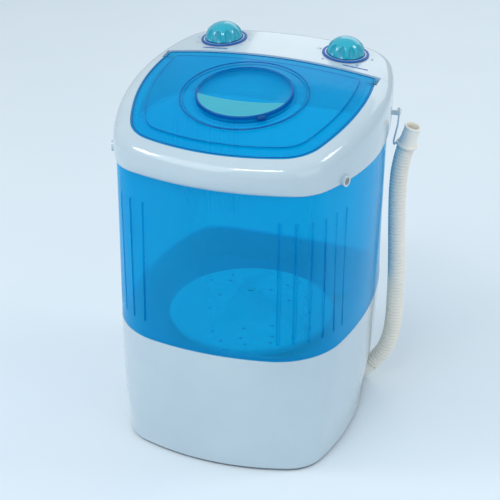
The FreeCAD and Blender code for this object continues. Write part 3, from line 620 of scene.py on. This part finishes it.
def lid_outline(extra):
    """Closed line extra mm inside the lid's edge, front to rear and back along the bow."""
    inset = LID_INSET + extra
    side = Vector((COLLAR_HALF - SIDE_ARC_R, SIDE_ARC_Y))
    nose = Vector((0, COLLAR_FRONT + FRONT_ARC_R))
    near = meet(side, SIDE_ARC_R - CORNER_ARC_R, nose, FRONT_ARC_R - CORNER_ARC_R, -1)
    nose_turn = math.atan2(near.y - nose.y, near.x - nose.x)
    side_turn = math.atan2(near.y - side.y, near.x - side.x)
    arcs = (
        (nose, FRONT_ARC_R, -math.pi / 2, nose_turn),
        (near, CORNER_ARC_R, nose_turn, side_turn),
        (side, SIDE_ARC_R, side_turn, SIDE_END),
    )
    right = []
    for centre, radius, start, end in arcs:
        for step in range(ARC_STEPS):
            angle = start + (end - start) * step / ARC_STEPS
            spot = centre + Vector((math.cos(angle), math.sin(angle))) * (radius - inset)
            if math.hypot(spot.x, spot.y - BOW_CENTRE) < BOW_RADIUS - extra:
                right.append(spot)
    last = right[-1]
    bow = []
    reach = BOW_RADIUS - extra
    for step in range(BOW_STEPS + 1):
        x = last.x * (1 - 2 * step / BOW_STEPS)
        bow.append(Vector((x, BOW_CENTRE + math.sqrt(reach ** 2 - x ** 2))))
    left = [Vector((-spot.x, spot.y)) for spot in reversed(right[1:])]
    return right + bow + left


def circle(radius, count=160):
    """Closed line round the cap's axis, in millimetres."""
    centre = Vector((0, CAP_Y / MM))
    turns = [2 * math.pi * step / count for step in range(count)]
    return [centre + Vector((math.cos(turn), math.sin(turn))) * radius for turn in turns]


def bead(name, loop, height, radius, around=10):
    """Thin bead along a closed line on the crowned top."""
    points = []
    for spot in loop:
        ray = Vector((spot.x * MM, spot.y * MM, 0)) - Vector((0, TOP_CENTRE.y, 0))
        rise = math.sqrt(TOP_RADIUS ** 2 - ray.x ** 2 - ray.y ** 2)
        out = Vector((ray.x, ray.y, rise)).normalized()
        points.append(TOP_CENTRE + out * (TOP_RADIUS + height * MM))
    verts = []
    for number, point in enumerate(points):
        heading = (points[(number + 1) % len(points)] - points[number - 1]).normalized()
        up = (point - TOP_CENTRE).normalized()
        side = heading.cross(up).normalized()
        for step in range(around):
            angle = 2 * math.pi * step / around
            verts.append(point + (side * math.cos(angle) + up * math.sin(angle)) * radius * MM)
    return mesh_object(name, verts, ring_faces(len(points), around, True))


def make_lid_shade_beads(finish):
    # the beads follow the lid's real rim, step and ring; their darker finish is painted shade for
    # the dark refraction lines there
    edges = (                              # name, line, height over the top, radius of the bead
        ("lid_rim_bead", lid_outline(2.2), 0.2, 0.6),
        ("lid_step_bead", lid_outline(19.5), 2.2, 0.45),
        ("lid_ring_bead", circle(LID_RING_R), 4.6, 0.7),
        ("lid_ring_foot", circle(LID_RING_R - 4), 2.6, 0.3),
    )
    for name, loop, height, radius in edges:
        dress(bead(name, loop, height, radius), "lid", None, finish)


# ---------------------------------------------------------------- materials
def new_material(name):
    """Material with a Principled shader; its slot property is its slot in the record."""
    material = bpy.data.materials.new(name)
    material["slot"] = name
    material.use_nodes = True
    tree = material.node_tree
    tree.nodes.clear()
    output = tree.nodes.new("ShaderNodeOutputMaterial")
    shader = tree.nodes.new("ShaderNodeBsdfPrincipled")
    tree.links.new(shader.outputs["BSDF"], output.inputs["Surface"])
    return material, tree, shader, output


def noise(tree, scale, detail=3.0, roughness=0.5, stretch=(1.0, 1.0, 1.0)):
    place = tree.nodes.new("ShaderNodeTexCoord")
    mapping = tree.nodes.new("ShaderNodeMapping")
    mapping.inputs["Scale"].default_value = stretch
    texture = tree.nodes.new("ShaderNodeTexNoise")
    texture.inputs["Scale"].default_value = scale
    texture.inputs["Detail"].default_value = detail
    texture.inputs["Roughness"].default_value = roughness
    tree.links.new(place.outputs["Object"], mapping.inputs["Vector"])
    tree.links.new(mapping.outputs["Vector"], texture.inputs["Vector"])
    return texture.outputs["Fac"]


def spread(tree, value, low, high, start=0.3, stop=0.7):
    """Value from start..stop mapped to low..high."""
    ranged = tree.nodes.new("ShaderNodeMapRange")
    ranged.inputs["From Min"].default_value = start
    ranged.inputs["From Max"].default_value = stop
    ranged.inputs["To Min"].default_value = low
    ranged.inputs["To Max"].default_value = high
    tree.links.new(value, ranged.inputs["Value"])
    return ranged.outputs["Result"]


def blend_colours(tree, value, low, high, start=0.35, stop=0.65):
    ramp = tree.nodes.new("ShaderNodeValToRGB")
    ramp.color_ramp.elements[0].position = start
    ramp.color_ramp.elements[0].color = (*low, 1.0)
    ramp.color_ramp.elements[1].position = stop
    ramp.color_ramp.elements[1].color = (*high, 1.0)
    tree.links.new(value, ramp.inputs["Fac"])
    return ramp.outputs["Color"]


def bump(tree, shader, height, strength, distance):
    node = tree.nodes.new("ShaderNodeBump")
    node.inputs["Strength"].default_value = strength
    node.inputs["Distance"].default_value = distance
    tree.links.new(height, node.inputs["Height"])
    tree.links.new(node.outputs["Normal"], shader.inputs["Normal"])


def moulded(name, low, high, rough, grain=900.0, depth=0.02 * MM, coat=0.0,
            stretch=(1, 1, 1), metallic=0.0):
    """Opaque finish: slight colour drift, uneven gloss and a fine surface texture."""
    material, tree, shader, _ = new_material(name)
    drift = noise(tree, 9.0, 4.0)
    tree.links.new(blend_colours(tree, drift, low, high), shader.inputs["Base Color"])
    wear = noise(tree, 60.0, 6.0, 0.65, stretch)
    tree.links.new(spread(tree, wear, *rough), shader.inputs["Roughness"])
    bump(tree, shader, noise(tree, grain, 2.0, 0.5, stretch), 0.5, depth)
    shader.inputs["Coat Weight"].default_value = coat
    shader.inputs["Coat Roughness"].default_value = 0.06
    shader.inputs["Metallic"].default_value = metallic
    return material


def see_through(name, tint, body_low, body_high, share, rough, slot=None):
    """Clear tinted plastic: things behind show through, and a share shows its own colour."""
    material, tree, shader, output = new_material(name)
    material["slot"] = slot or name
    shader.inputs["Specular IOR Level"].default_value = 0.35
    drift = noise(tree, 6.0, 3.0)
    tree.links.new(blend_colours(tree, drift, body_low, body_high), shader.inputs["Base Color"])
    tree.links.new(spread(tree, noise(tree, 45.0, 5.0, 0.6), *rough), shader.inputs["Roughness"])
    bump(tree, shader, noise(tree, 260.0, 2.0), 0.25, 0.02 * MM)
    clear = tree.nodes.new("ShaderNodeBsdfTransparent")
    clear.inputs["Color"].default_value = (*tint, 1.0)
    facing = tree.nodes.new("ShaderNodeLayerWeight")
    facing.inputs["Blend"].default_value = 0.35
    cover = spread(tree, facing.outputs["Facing"], share, min(1.0, share + 0.45), 0.0, 1.0)
    mix = tree.nodes.new("ShaderNodeMixShader")
    tree.links.new(cover, mix.inputs["Fac"])
    tree.links.new(clear.outputs["BSDF"], mix.inputs[1])
    tree.links.new(shader.outputs["BSDF"], mix.inputs[2])
    tree.links.new(mix.outputs["Shader"], output.inputs["Surface"])
    return material


def metal(name, colour, rough, stretch=(1, 1, 1), grain=400.0, depth=0.01 * MM):
    darker = tuple(channel * 0.85 for channel in colour)
    return moulded(name, darker, colour, rough, grain, depth, 0.0, stretch, 1.0)


# name: two colours it drifts between, roughness, grain, depth of the grain, clear coat
MOULDED = {
    "white_casing": ((0.50, 0.62, 0.70), (0.54, 0.66, 0.73), (0.12, 0.2), 700.0, 0.012 * MM, 0.7),
    "teal_knob": ((0.003, 0.38, 0.52), (0.006, 0.43, 0.57), (0.12, 0.2), 500.0, 0.02 * MM, 0.8),
    "blue_trim": ((0.0, 0.085, 0.37), (0.0, 0.11, 0.43), (0.3, 0.45)),
    "pulsator_plastic": ((0.86, 0.93, 0.96), (0.92, 0.96, 0.98), (0.2, 0.35)),
    "hose_plastic": ((0.88, 0.83, 0.74), (0.96, 0.92, 0.84), (0.32, 0.5)),
    "dark_plastic": ((0.03, 0.03, 0.035), (0.05, 0.05, 0.055), (0.4, 0.6)),
    "black_rubber": ((0.015, 0.015, 0.015), (0.03, 0.03, 0.03), (0.6, 0.85)),
}
# name: tint of what shows through, two own colours, their share, roughness, slot if not the name
SEE_THROUGH = {
    "blue_tub": ((0.0, 0.87, 0.98), (0.0, 0.46, 0.86), (0.0, 0.52, 0.92), 0.26, (0.08, 0.18)),
    "blue_lid": ((0.0, 0.85, 0.975), (0.0, 0.46, 0.86), (0.0, 0.52, 0.92), 0.16, (0.05, 0.12)),
    # lid_edge_painted_shade: a darker copy of the lid plastic, painted shade for the dark lines
    # that refraction draws along the lid's rim, step, ring and the cap's rim
    "lid_edge_painted_shade": ((0.0, 0.40, 0.80), (0.0, 0.11, 0.40), (0.0, 0.14, 0.46), 0.6, (0.08, 0.16),
                 "blue_lid"),
}
# name: colour, roughness, stretch of the grain, grain, depth of the grain
METALS = {
    "bright_steel": ((0.34, 0.33, 0.33), (0.25, 0.4)),
    "plated_steel": ((0.55, 0.56, 0.58), (0.3, 0.45)),
    "cast_aluminium": ((0.66, 0.67, 0.70), (0.35, 0.55), (1, 1, 1), 250.0, 0.05 * MM),
    "bronze": ((0.60, 0.38, 0.18), (0.3, 0.45)),
    "copper_wire": ((0.66, 0.26, 0.10), (0.22, 0.38), (0.1, 0.1, 6.0), 300.0, 0.2 * MM),
}


def make_materials():
    made = {name: moulded(name, *values) for name, values in MOULDED.items()}
    made.update({name: see_through(name, *values) for name, values in SEE_THROUGH.items()})
    made.update({name: metal(name, *values) for name, values in METALS.items()})
    return made


def finish_nodes(materials):
    """Give every CAD node the finish of its slot."""
    for part in frame["record"]["subparts"]:
        mesh = NODES[part["node"]].data
        mesh.materials.clear()
        mesh.materials.append(materials[part["material_slot"]])


# ---------------------------------------------------------------- studio
FLOOR_HALF = 6.0


def make_floor():
    signs = ((-1, -1), (1, -1), (1, 1), (-1, 1))
    corners = [(x * FLOOR_HALF, y * FLOOR_HALF, 0) for x, y in signs]
    floor = mesh_object("floor", corners, [(0, 1, 2, 3)], False)
    material, tree, shader, _ = new_material("floor")
    pale = blend_colours(tree, noise(tree, 3.0), (0.78, 0.87, 0.94), (0.80, 0.89, 0.95))
    tree.links.new(pale, shader.inputs["Base Color"])
    shader.inputs["Roughness"].default_value = 0.6
    floor.data.materials.append(material)


def area_light(name, place, aim, size, power, colour=(1.0, 1.0, 1.0)):
    lamp = bpy.data.lights.new(name, "AREA")
    lamp.shape = "RECTANGLE"
    lamp.size, lamp.size_y = size
    lamp.energy = power
    lamp.color = colour
    obj = link(bpy.data.objects.new(name, lamp))
    obj.location = place
    obj.rotation_mode = "QUATERNION"
    obj.rotation_quaternion = (Vector(aim) - Vector(place)).to_track_quat("-Z", "Y")


def make_lights():
    area_light("key", (-1.1, -1.6, 2.3), (0, 0, 0.3), (2.0, 1.6), 16.0)
    area_light("fill", (2.2, -1.2, 1.2), (0, 0, 0.25), (1.6, 1.6), 6.0, (0.92, 0.96, 1.0))
    area_light("rear", (0.2, 2.4, 1.6), (0, 0, 0.3), (2.4, 1.2), 8.0)
    area_light("front strip", (0.1, -1.4, 2.55), (0, -0.15, 0.45), (0.8, 0.3), 9.0)
    area_light("left strip", (-2.0, -0.9, 2.2), (0, 0, 0.4), (0.7, 0.5), 11.0)
    area_light("right strip", (1.8, 0.7, 2.6), (0, 0, 0.4), (0.8, 0.6), 11.0)
    world = bpy.data.worlds.new("studio")
    world.use_nodes = True
    sky = world.node_tree.nodes["Background"]
    sky.inputs["Color"].default_value = (0.86, 0.94, 1.0, 1.0)
    sky.inputs["Strength"].default_value = 0.6
    bpy.context.scene.world = world
    bpy.context.scene.view_settings.view_transform = "Standard"


make_camera()
hose, hose_line = make_hose()
materials = make_materials()
finish_nodes(materials)
hose.data.materials.append(materials["hose_plastic"])
cuff = make_cuff(materials["hose_plastic"])
hanger = make_hanger(materials["white_casing"])
make_dials(materials)
make_marks(materials["blue_trim"])
make_pulsator(materials)
make_cap(materials)
make_lid_shade_beads(materials["lid_edge_painted_shade"])
make_floor()
make_lights()
